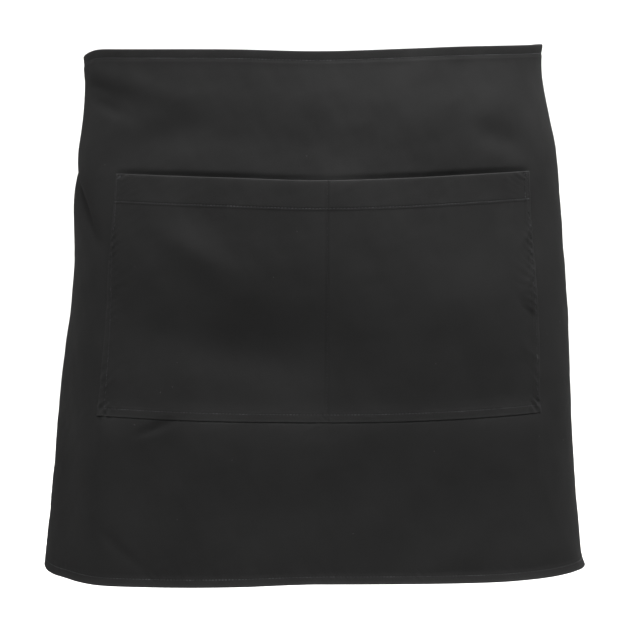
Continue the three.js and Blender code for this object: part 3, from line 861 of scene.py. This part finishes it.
def black_cotton_twill(name, finish):
    """Black cotton twill, woven two up and one down and piece dyed.

    The eye gets a matt near-black with a faint diagonal rib, slightly uneven dye, and greyer folded edges:
    partly rubbed dye and partly a painted highlight where the edges catch the light.
    """
    material, tree = new_material(name)
    cloth = add_node(tree, "ShaderNodeUVMap", uv_map="Cloth").outputs["UV"]
    # Ribs run at 45 degrees. Real ones are 0.5 mm apart, too fine to show, so they are drawn coarser.
    turn = 2 * np.pi / finish.weave_pitch / np.sqrt(2)
    wobble = add_node(
        tree, "ShaderNodeTexNoise", {"Vector": cloth, "Scale": 1 / (9 * MM), "Detail": 2.0}
    ).outputs["Color"]
    bent = add_node(
        tree,
        "ShaderNodeVectorMath",
        {0: wobble, 1: (0.5 * MM, 0.5 * MM, 0), 2: cloth},
        operation="MULTIPLY_ADD",
    ).outputs[0]
    slope = add_node(
        tree, "ShaderNodeVectorMath", {0: bent, 1: (turn, turn, 0)}, operation="DOT_PRODUCT"
    ).outputs["Value"]
    rib = add_node(tree, "ShaderNodeMath", {0: slope}, operation="SINE").outputs[0]
    # Yarn slubs and fuzz, at the spacing of a few yarns.
    fuzz = add_node(
        tree,
        "ShaderNodeTexNoise",
        {"Vector": cloth, "Scale": 1 / (1.4 * MM), "Detail": 4.0, "Roughness": 0.7},
    ).outputs["Fac"]
    height = add_node(
        tree, "ShaderNodeMath", {0: fuzz, 1: 3.0, 2: rib}, operation="MULTIPLY_ADD"
    ).outputs[0]
    bump = add_node(
        tree, "ShaderNodeBump", {"Strength": 0.55, "Distance": 0.09 * MM, "Height": height}
    ).outputs[0]
    # Uneven dye: broad clouds and fine specks.
    cloud = add_node(
        tree, "ShaderNodeTexNoise", {"Vector": cloth, "Scale": 1 / (55 * MM), "Detail": 3.0}
    ).outputs["Fac"]
    speck = add_node(
        tree, "ShaderNodeMath", {0: fuzz, 1: 0.6, 2: cloud}, operation="MULTIPLY_ADD"
    ).outputs[0]
    shade = add_node(
        tree,
        "ShaderNodeMapRange",
        {"Value": speck, "From Min": 0.5, "From Max": 1.1, "To Min": 0.86, "To Max": 1.14},
    ).outputs[0]
    # Folded edges painted greyer: partly rubbed dye, partly a painted highlight of the light the edges
    # catch.
    edge = add_node(tree, "ShaderNodeAttribute", attribute_name="edge_wear_and_highlight").outputs["Fac"]
    wear_and_highlight = add_node(tree, "ShaderNodeMath", {0: edge, 1: fuzz}, operation="MULTIPLY").outputs[0]
    dye = add_node(
        tree,
        "ShaderNodeMix",
        {"Factor": wear_and_highlight, "A": (*finish.dye, 1), "B": (*finish.worn_dye_and_edge_highlight, 1)},
        data_type="RGBA",
    )
    shaded = add_node(
        tree, "ShaderNodeVectorMath", {0: dye.outputs["Result"], "Scale": shade}, operation="SCALE"
    ).outputs[0]
    shader = add_node(
        tree,
        "ShaderNodeBsdfPrincipled",
        {
            "Base Color": shaded,
            "Roughness": 0.9,
            "Diffuse Roughness": 0.2,
            "Specular IOR Level": 0.05,
            "IOR": 1.45,
            "Normal": bump,
        },
    )
    finish_material(tree, shader)
    return material


def spun_thread(finish):
    """Black core-spun sewing thread: polyester under cotton, a touch glossier than the cloth."""
    material, tree = new_material("spun_polyester_cotton_thread")
    place = add_node(tree, "ShaderNodeTexCoord").outputs["Object"]
    fuzz = add_node(
        tree, "ShaderNodeTexNoise", {"Vector": place, "Scale": 1 / (0.6 * MM), "Detail": 2.0}
    ).outputs["Fac"]
    bump = add_node(
        tree, "ShaderNodeBump", {"Strength": 0.4, "Distance": 0.05 * MM, "Height": fuzz}
    ).outputs[0]
    # Painted highlight: the thread is painted grey in stretches a few stitches long, where stitches catch
    # the light.
    stretch = add_node(
        tree, "ShaderNodeTexNoise", {"Vector": place, "Scale": 1 / (11 * MM), "Detail": 2.0}
    ).outputs["Fac"]
    wear_and_highlight = add_node(
        tree, "ShaderNodeMapRange", {"Value": stretch, "From Min": 0.5, "From Max": 0.68}
    ).outputs[0]
    tone = add_node(
        tree,
        "ShaderNodeMix",
        {"Factor": wear_and_highlight, "A": (*finish.thread_dye, 1), "B": (*finish.painted_thread_highlight, 1)},
        data_type="RGBA",
    )
    shader = add_node(
        tree,
        "ShaderNodeBsdfPrincipled",
        {
            "Base Color": tone.outputs["Result"],
            "Roughness": 0.7,
            "Specular IOR Level": 0.25,
            "IOR": 1.5,
            "Normal": bump,
        },
    )
    finish_material(tree, shader)
    return material


def cotton_lint(finish):
    """Loose cotton fibre that black cloth picks up: pale, matt and fluffy."""
    material, tree = new_material("cotton_lint")
    place = add_node(tree, "ShaderNodeTexCoord").outputs["Object"]
    fluff = add_node(
        tree, "ShaderNodeTexNoise", {"Vector": place, "Scale": 1 / (0.3 * MM)}
    ).outputs["Fac"]
    tone = add_node(
        tree, "ShaderNodeVectorMath", {0: tuple(finish.lint), "Scale": fluff}, operation="SCALE"
    ).outputs[0]
    shader = add_node(tree, "ShaderNodeBsdfPrincipled", {"Base Color": tone, "Roughness": 0.95})
    finish_material(tree, shader)
    return material


def backdrop_paper(studio):
    """Matt white background paper on a roll: pulp with a faint tooth."""
    material, tree = new_material("matt_backdrop_paper")
    place = add_node(tree, "ShaderNodeTexCoord").outputs["Object"]
    tooth = add_node(
        tree, "ShaderNodeTexNoise", {"Vector": place, "Scale": 1 / (4 * MM), "Detail": 3.0}
    ).outputs["Fac"]
    bump = add_node(
        tree, "ShaderNodeBump", {"Strength": 0.1, "Distance": 0.1 * MM, "Height": tooth}
    ).outputs[0]
    shader = add_node(
        tree,
        "ShaderNodeBsdfPrincipled",
        {"Base Color": (*studio.paper, 1), "Roughness": 0.95, "Normal": bump},
    )
    finish_material(tree, shader)
    return material


def material_named(name, maker, *arguments):
    """A material that several operators share, made once."""
    return bpy.data.materials.get(name) or maker(*arguments)


def twill(context):
    """The cloth's material."""
    finish = context.scene.apron_finish
    return material_named("black_cotton_twill", black_cotton_twill, "black_cotton_twill", finish)


def thread(context):
    """The stitches' material."""
    return material_named("spun_polyester_cotton_thread", spun_thread, context.scene.apron_finish)


def cloth_piece(name, node, faces, across, down, context):
    """A draped cloth over a grid of flat points, with edges painted greyer for rubbed dye and for light
    caught there, in place of its CAD node.
    """
    edge = np.min(faces.to_edges(across, down), axis=0)
    # Edge mask: rubbed dye and a painted highlight along the cloth's edges.
    edge_wear_and_highlight = np.exp(-edge / (1.2 * MM))
    flat = np.stack([across, -down], -1)
    outer, inner = faces.outer(across, down), faces.inner(across, down)
    return dress(shell(name, outer, inner, flat, edge_wear_and_highlight, twill(context)), "twill", node)


def tape_piece(node, face, start, end, step, context):
    """A tape in place of its CAD node, with finer steps at its ends."""
    s = context.scene.apron_sizes
    ways = places(start, EDGE_STEP, start + 0.8 * MM, step, end - 0.8 * MM, EDGE_STEP, end)
    tape = strip(f"{node}_tape", face, ways, s.tie_width / 2, s.tie_thickness / 2, twill(context))
    return dress(tape, "tie_twill", node)


class APRON_OT_skirt(bpy.types.Operator):
    """Make the hemmed skirt"""

    bl_idname = "apron.skirt"
    bl_label = "Skirt"

    def execute(self, context):
        s = context.scene.apron_sizes
        faces = SkirtFaces(Drape(s))
        half, foot = s.skirt_width / 2, s.skirt_length
        pocket_foot = s.pocket_drop + s.pocket_height
        columns = places(
            -half, EDGE_STEP, -half + EDGE_RUN, HEM_STEP, -half + HEM_RUN, 3 * MM,
            half - HEM_RUN, HEM_STEP, half - EDGE_RUN, EDGE_STEP, half,
        )  # fmt: skip
        # The rows lie closer at the hems, at the pocket's mouth and below its foot.
        rows = places(
            0, EDGE_STEP, EDGE_RUN, HEM_STEP, 13 * MM, 3.3 * MM, s.pocket_drop - 14 * MM, 2 * MM,
            s.pocket_drop + 6 * MM, 6 * MM, pocket_foot - 10 * MM, 2 * MM, pocket_foot - 1 * MM, 0.5 * MM,
            pocket_foot + 3 * MM, 2 * MM, pocket_foot + 22 * MM, 3.3 * MM,
            foot - HEM_RUN, HEM_STEP, foot - EDGE_RUN, EDGE_STEP, foot,
        )  # fmt: skip
        skirt = cloth_piece("skirt_cloth", "skirt", faces, *np.meshgrid(columns, rows), context)
        return {"FINISHED"}


class APRON_OT_pocket(bpy.types.Operator):
    """Make the divided patch pocket"""

    bl_idname = "apron.pocket"
    bl_label = "Pocket"

    def execute(self, context):
        s = context.scene.apron_sizes
        faces = PocketFaces(Drape(s))
        half = (s.pocket_mouth + s.pocket_foot) / 4
        edge, hem, middle = EDGE_RUN / half, HEM_RUN / half, 6 * MM / half
        fine, close, wide = EDGE_STEP / half, HEM_STEP / half, 3 * MM / half
        shares = places(
            -1, fine, -1 + edge, close, -1 + hem, wide, -middle, close,
            middle, wide, 1 - hem, close, 1 - edge, fine, 1,
        )  # fmt: skip
        mouth = s.pocket_drop
        band, foot = mouth + s.pocket_band, mouth + s.pocket_height
        rows = places(
            mouth, EDGE_STEP, mouth + EDGE_RUN, 2.2 * MM, band - 4 * MM, 0.7 * MM, band + 3 * MM,
            3 * MM, foot - HEM_RUN, HEM_STEP, foot - EDGE_RUN, EDGE_STEP, foot,
        )  # fmt: skip
        share, down = np.meshgrid(shares, rows)
        across = np.abs(share) * faces.drape.pocket_edge(np.where(share < 0, -1, 1), down)
        pocket = cloth_piece("pocket_cloth", "pocket", faces, across, down, context)
        return {"FINISHED"}


def tie_ways(sizes, drape, side):
    """Where a tie starts and ends, across the cloth: from its sewn end to just inside the knot."""
    start = sizes.skirt_width / 2 - sizes.tie_overlap
    end = drape.half_round(side) - side * sizes.skirt_shift - sizes.knot_width / 2 + 3 * MM
    return (start, end) if side > 0 else (-end, -start)


def knot_middle(sizes):
    """The knot stands on the ties, so that they enter its sides near its inner face."""
    inner = sizes.waist_back - sizes.cloth / 2 - sizes.hem_turn - 2 * sizes.tie_thickness
    return np.array([0, inner + sizes.knot_depth / 2, sizes.back_rise - sizes.tie_width / 2])


def loop_tape(sizes, side):
    """A bow loop: a tape on its edge that leaves the knot, turns round and comes back to it."""
    droop = np.radians(27)
    knot = knot_middle(sizes)
    stand_off = sizes.knot_width / 2 - 2 * MM
    along = LOOP_OUTLINE["along"] * sizes.loop_length
    points = np.stack(
        [
            side * (stand_off + along * np.cos(droop)),
            knot[1] + 0.18 * sizes.knot_depth + LOOP_OUTLINE["apart"] * sizes.loop_opening,
            knot[2] - along * np.sin(droop),
        ],
        -1,
    )
    return Tape(sizes, points, (0, 0, side), pinched_at_end=True)


def tail_tape(sizes, side):
    """A tie end: a tape that hangs from the knot's underside and turns a little on its way down."""
    knot = knot_middle(sizes)
    seat = knot[1] - sizes.knot_depth / 2 + sizes.knot_depth * (0.4 if side < 0 else 0.72)
    points = np.stack(
        [
            side * (1.6 * MM + TAIL_ROUTE["side"] * sizes.tail_length),
            seat + TAIL_ROUTE["out"] * sizes.tail_length,
            knot[2] - sizes.knot_height / 2 + 3 * MM - TAIL_ROUTE["down"] * sizes.tail_length,
        ],
        -1,
    )
    return Tape(
        sizes, points, (1, 0, 0), lambda share: side * between(TAIL_ROUTE, "down", "twist", share)
    )


class APRON_OT_ties(bpy.types.Operator):
    """Make the two ties round the back"""

    bl_idname = "apron.ties"
    bl_label = "Ties"

    def execute(self, context):
        s = context.scene.apron_sizes
        drape = Drape(s)
        for hand, side in HANDS:
            first, last = tie_ways(s, drape, side)
            tie = tape_piece(f"tie_{hand}", TieFaces(drape).face, first, last, 2.5 * MM, context)
        return {"FINISHED"}


class APRON_OT_bow(bpy.types.Operator):
    """Make the bow: the knot, its loops and the hanging tie ends"""

    bl_idname = "apron.bow"
    bl_label = "Bow"

    def execute(self, context):
        s = context.scene.apron_sizes
        knot = self.knot(s, twill(context))
        dress(knot, "tie_twill", "bow_knot")
        for hand, side in HANDS:
            loop, tail = loop_tape(s, side), tail_tape(s, side)
            for node, tape, held in (("bow_loop", loop, "folded"), ("tie_end", tail, "hung")):
                piece = tape_piece(f"{node}_{hand}", tape.face, 0, tape.length, 2 * MM, context)
        return {"FINISHED"}

    def knot(self, s, material):
        """A barrel of wrapped tape, shaped as (half width s, depth, height).

        Its section is a superellipse, its ends close as one too, and slanting grooves run round it as the
        tape's gathered folds do.
        """

        def section(value):
            """A circle's cosine or sine made squarish: its 0.75th power, with its sign."""
            return np.sign(value) * np.abs(value) ** 0.75

        turns = np.linspace(0, 2 * np.pi, 72, endpoint=False)
        shares = np.sin(np.linspace(-np.pi / 2, np.pi / 2, 41))
        turn, share = np.meshgrid(turns, shares[1:-1], indexing="ij")
        close = (1 - np.abs(share) ** 3.2) ** (1 / 3.2)
        folds = 1 - 0.05 * np.abs(np.sin(np.pi * (1.9 * share + 0.22 * np.sin(turn) + 0.3))) ** 0.7
        middle = knot_middle(s)
        points = np.stack(
            [
                middle[0] + s.knot_width / 2 * share,
                middle[1] + s.knot_depth / 2 * section(np.cos(turn)) * close * folds,
                middle[2] + s.knot_height / 2 * section(np.sin(turn)) * close * folds,
            ],
            -1,
        )
        rows, columns = turn.shape
        index = np.arange(rows * columns).reshape(rows, columns)
        quads = grid_faces(rows + 1, columns, np.vstack([index, index[:1]]))
        poles = middle + np.array([[-1, 0, 0], [1, 0, 0]]) * s.knot_width / 2
        first, last = index[:, 0], index[:, -1]
        caps = [(first, np.roll(first, -1), index.size), (np.roll(last, -1), last, index.size + 1)]
        caps = [np.stack(np.broadcast_arrays(*cap), -1).tolist() for cap in caps]
        flat = np.stack([turn * s.knot_height / 2, share * s.knot_width / 2], -1).reshape(-1, 2)
        flat = np.vstack([flat, [[0, -s.knot_width / 2], [0, s.knot_width / 2]]])
        edge_wear_and_highlight = np.zeros(len(flat))
        faces = [*quads.tolist(), *caps[0], *caps[1]]
        points = np.vstack([points.reshape(-1, 3), poles])
        return add_piece("bow_knot_wrap", points, faces, material, flat, edge_wear_and_highlight)


class APRON_OT_stitching(bpy.types.Operator):
    """Sew every visible row of stitches"""

    bl_idname = "apron.stitching"
    bl_label = "Stitching"

    def execute(self, context):
        s = context.scene.apron_sizes
        drape = Drape(s)
        sew("skirt_stitching", self.skirt_rows(s, SkirtFaces(drape)), thread(context), "twill")
        sew("pocket_stitching", self.pocket_rows(s, PocketFaces(drape)), thread(context), "twill")
        sew("tie_stitching", self.tie_rows(s, drape), thread(context), "tie_twill")
        return {"FINISHED"}

    def skirt_rows(self, s, faces):
        """The four hems, seen from both sides, and the boxes that hold the ties."""
        half, foot = s.skirt_width / 2, s.skirt_length
        waist = s.waist_hem - faces.waist_seam
        edge = s.edge_hem - faces.edge_seam
        clear = 2 * MM
        lines = [
            ((-half + clear, waist), (half - clear, waist)),
            ((-half + clear, foot - edge), (half - clear, foot - edge)),
            ((-half + edge, clear), (-half + edge, foot - clear)),
            ((half - edge, clear), (half - edge, foot - clear)),
        ]
        rows = []
        for start, end in lines:
            rows.append(stitch_row(faces.outer, start, end, s.thread, s.stitch))
            rows.append(stitch_row(faces.inner, start, end, s.thread, s.stitch, 0.5))
        for side in (-1, 1):
            inset = 2.5 * MM
            near, far = half - inset, half - s.tie_overlap + inset
            low, high = inset, s.tie_width - inset
            box = [(near, low), (far, low), (far, high), (near, high), (near, low)]
            corners = [*box, (far, high), (far, low), (near, high)]
            for (a, b), (c, d) in zip(corners[:-1], corners[1:]):
                rows.append(stitch_row(faces.outer, (side * a, b), (side * c, d), s.thread, s.stitch))
        return rows

    def pocket_rows(self, s, faces):
        """The band, the sides, the foot, the divider and the bar tacks at the mouth's ends."""
        drop, foot = s.pocket_drop, s.pocket_drop + s.pocket_height
        band = drop + s.pocket_band - faces.band_seam
        base = foot - faces.foot_seam

        def edge(side, down, inset):
            """A point so far inside the pocket's side."""
            return float(faces.drape.pocket_edge(side, down)) - side * inset, down

        def sunk(across, down, lift):
            """The outer face for the divider's stitches, which are pulled down into the cloth."""
            return faces.outer(across, down, lift - 0.3 * MM)

        left, right = faces.left_seam, faces.right_seam
        top, inner_row = drop + 2 * MM, 8.5 * MM
        lines = [
            (edge(-1, band, 2 * MM), edge(1, band, 2 * MM)),
            (edge(-1, drop, faces.left_seam_mouth), edge(-1, base, left)),
            (edge(1, top, right), edge(1, base, right)),
            (edge(-1, base, left), edge(1, base, right)),
            (edge(1, top, inner_row), edge(1, band, inner_row)),
        ]
        rows = [stitch_row(faces.outer, start, end, s.thread, s.stitch) for start, end in lines]
        rows.append(stitch_row(sunk, (0, drop + 1.5 * MM), (0, foot - 2 * MM), s.thread, s.stitch))
        # A bar tack is five long stitches close together, slanting across the side.
        for side, inset in ((-1, 5 * MM), (1, 6 * MM)):
            for k in range(5):
                offset = (k - 2) * 0.5 * MM
                start = edge(side, drop + 2 * MM + offset, inset + 4 * MM)
                end = edge(side, drop + 5 * MM + offset, inset - 4 * MM)
                rows.append(stitch_row(faces.outer, start, end, s.thread, 2 * s.stitch))
        return rows

    def tie_rows(self, s, drape):
        """Two rows along each tie, loop and tie end, on both faces, and one across each tie end's hem."""

        def on(face, side, height):
            """One side of a tape as a face to sew on, at a height off the tape's middle."""
            return lambda way, breadth, lift: face(way, breadth, side * (height + lift))

        seam = s.tie_width / 2 - TAPE_SEAM
        half = s.tie_thickness / 2 - 0.2 * MM
        rows = []
        for side in (-1, 1):
            first, last = tie_ways(s, drape, side)
            tail = tail_tape(s, side)
            tapes = [(TieFaces(drape).face, first, last)]
            tapes += [(tape.face, 0, tape.length) for tape in (loop_tape(s, side), tail)]
            for face, start, end in tapes:
                for line in (-seam, seam):
                    for out in (1, -1):
                        row = (start + 2 * MM, line), (end - 2 * MM, line)
                        rows.append(stitch_row(on(face, out, half), *row, s.thread, s.stitch))
            row = (tail.length - 6 * MM, -seam), (tail.length - 6 * MM, seam)
            rows.append(stitch_row(on(tail.face, 1, half + 0.2 * MM), *row, s.thread, s.stitch))
        return rows


class APRON_OT_lint(bpy.types.Operator):
    """Scatter a few flecks of lint"""

    bl_idname = "apron.lint"
    bl_label = "Lint"

    def execute(self, context):
        s = context.scene.apron_sizes
        rng = np.random.default_rng(s.seed + 5)
        drape = Drape(s)
        skirt, pocket = SkirtFaces(drape), PocketFaces(drape)
        lint = material_named("cotton_lint", cotton_lint, context.scene.apron_finish)
        flecks = 26
        rows = []
        for across, down in zip(
            rng.uniform(-300 * MM, 300 * MM, flecks), rng.uniform(20 * MM, 480 * MM, flecks)
        ):
            beside_mouth = s.pocket_drop < down < s.pocket_drop + s.pocket_height
            on_pocket = beside_mouth and abs(across) < 200 * MM
            face = pocket.outer if on_pocket else skirt.outer
            heading = rng.uniform(0, np.pi)
            reach = rng.uniform(0.3, 0.9) * MM
            start = (across - reach * np.cos(heading), down - reach * np.sin(heading))
            end = (across + reach * np.cos(heading), down + reach * np.sin(heading))
            rows.append(stitch_row(face, start, end, 0.22 * MM, 2 * reach))
        sew("lint_flecks", rows, lint, "twill")
        return {"FINISHED"}


class APRON_OT_stage(bpy.types.Operator):
    """Make the backdrop, the lights and the camera"""

    bl_idname = "apron.stage"
    bl_label = "Stage"

    def execute(self, context):
        studio = context.scene.apron_studio
        self.backdrop(studio)
        for light in LIGHTS:
            self.softbox(context, light)
        self.daylight(context, studio)
        self.camera(context, studio)
        return {"FINISHED"}

    def backdrop(self, studio):
        """A bowl of paper: a flat floor, a quarter round and a wall, turned about the upright axis."""
        bend = np.linspace(0, np.pi / 2, 17)
        floor = [0.01, *np.linspace(0.5, studio.floor_reach, 14)]
        reach = np.concatenate([floor, studio.floor_reach + studio.sweep * np.sin(bend[1:])])
        rise = np.concatenate([np.zeros(len(floor)), studio.sweep * (1 - np.cos(bend[1:]))])
        reach, rise = np.append(reach, reach[-1]), np.append(rise, rise[-1] + studio.wall)
        turns = np.linspace(0, 2 * np.pi, 97)[:-1]
        points = np.stack(
            [
                np.outer(reach, np.cos(turns)),
                np.outer(reach, np.sin(turns)),
                np.repeat(rise[:, None] - studio.floor_drop, len(turns), 1),
            ],
            -1,
        )
        rows, columns = points.shape[:2]
        index = np.arange(rows * columns).reshape(rows, columns)
        quads = grid_faces(rows, columns + 1, np.hstack([index, index[:, :1]])).tolist()
        faces = [*quads, index[0].tolist()]
        paper = material_named("matt_backdrop_paper", backdrop_paper, studio)
        add_piece("backdrop", points.reshape(-1, 3), faces, paper)

    def softbox(self, context, light):
        """A square area light, out of the camera's sight, from its row of the table."""
        name = str(light["name"]).replace(" ", "_")
        lamp = bpy.data.lights.new(name, "AREA")
        lamp.shape, lamp.size, lamp.energy = "SQUARE", light["size"], light["power"]
        box = bpy.data.objects.new(name, lamp)
        box.location = Vector((light["x"], light["y"], light["z"]))
        aim = Vector((light["aim_x"], light["aim_y"], light["aim_z"]))
        box.rotation_euler = (aim - box.location).to_track_quat("-Z", "Y").to_euler()
        box.visible_camera = False
        context.scene.collection.objects.link(box)

    def daylight(self, context, studio):
        """Even white light from all round, shown without a film look."""
        world = bpy.data.worlds.new("white_room")
        world.use_nodes = True
        world.node_tree.nodes["Background"].inputs["Color"].default_value = (1, 1, 1, 1)
        world.node_tree.nodes["Background"].inputs["Strength"].default_value = studio.daylight
        context.scene.world = world
        context.scene.view_settings.view_transform = "Standard"

    def camera(self, context, studio):
        """The camera in front of the apron, on a 36 mm wide sensor."""
        camera = bpy.data.cameras.new("camera")
        camera.lens, camera.sensor_width = studio.lens, 36
        camera.clip_end = 60
        eye = bpy.data.objects.new("camera", camera)
        eye.location = (studio.aside, -studio.distance, 0)
        eye.rotation_euler = (np.pi / 2 - studio.pitch, 0, 0)
        context.scene.collection.objects.link(eye)
        context.scene.camera = eye


OPERATORS = (
    APRON_OT_skirt,
    APRON_OT_pocket,
    APRON_OT_ties,
    APRON_OT_bow,
    APRON_OT_stitching,
    APRON_OT_lint,
    APRON_OT_stage,
)


class APRON_PT_panel(bpy.types.Panel):
    """Lists the apron's pieces, its sizes and its colours"""

    bl_idname = "APRON_PT_panel"
    bl_label = "Waist apron"
    bl_space_type = "VIEW_3D"
    bl_region_type = "UI"
    bl_category = "Apron"

    def draw(self, context):
        """A button for each step, and a box for each group of settings."""
        for operator in OPERATORS:
            self.layout.operator(operator.bl_idname)
        scene = context.scene
        for group in (scene.apron_sizes, scene.apron_finish, scene.apron_studio):
            box = self.layout.box()
            for name in type(group).__annotations__:
                box.prop(group, name)


CLASSES = (ApronSizes, ApronFinish, StudioSettings, *OPERATORS, APRON_PT_panel)


def register():
    """Adds the settings, the operators and the panel to Blender."""
    for cls in CLASSES:
        bpy.utils.register_class(cls)
    bpy.types.Scene.apron_sizes = PointerProperty(type=ApronSizes)
    bpy.types.Scene.apron_finish = PointerProperty(type=ApronFinish)
    bpy.types.Scene.apron_studio = PointerProperty(type=StudioSettings)


def unregister():
    """Takes them out again."""
    del bpy.types.Scene.apron_studio
    del bpy.types.Scene.apron_finish
    del bpy.types.Scene.apron_sizes
    for cls in reversed(CLASSES):
        bpy.utils.unregister_class(cls)


def main():
    """Builds the apron and its stage."""
    register()
    for operator in OPERATORS:
        group, name = operator.bl_idname.split(".")
        getattr(getattr(bpy.ops, group), name)()


if __name__ == "__main__":
    main()
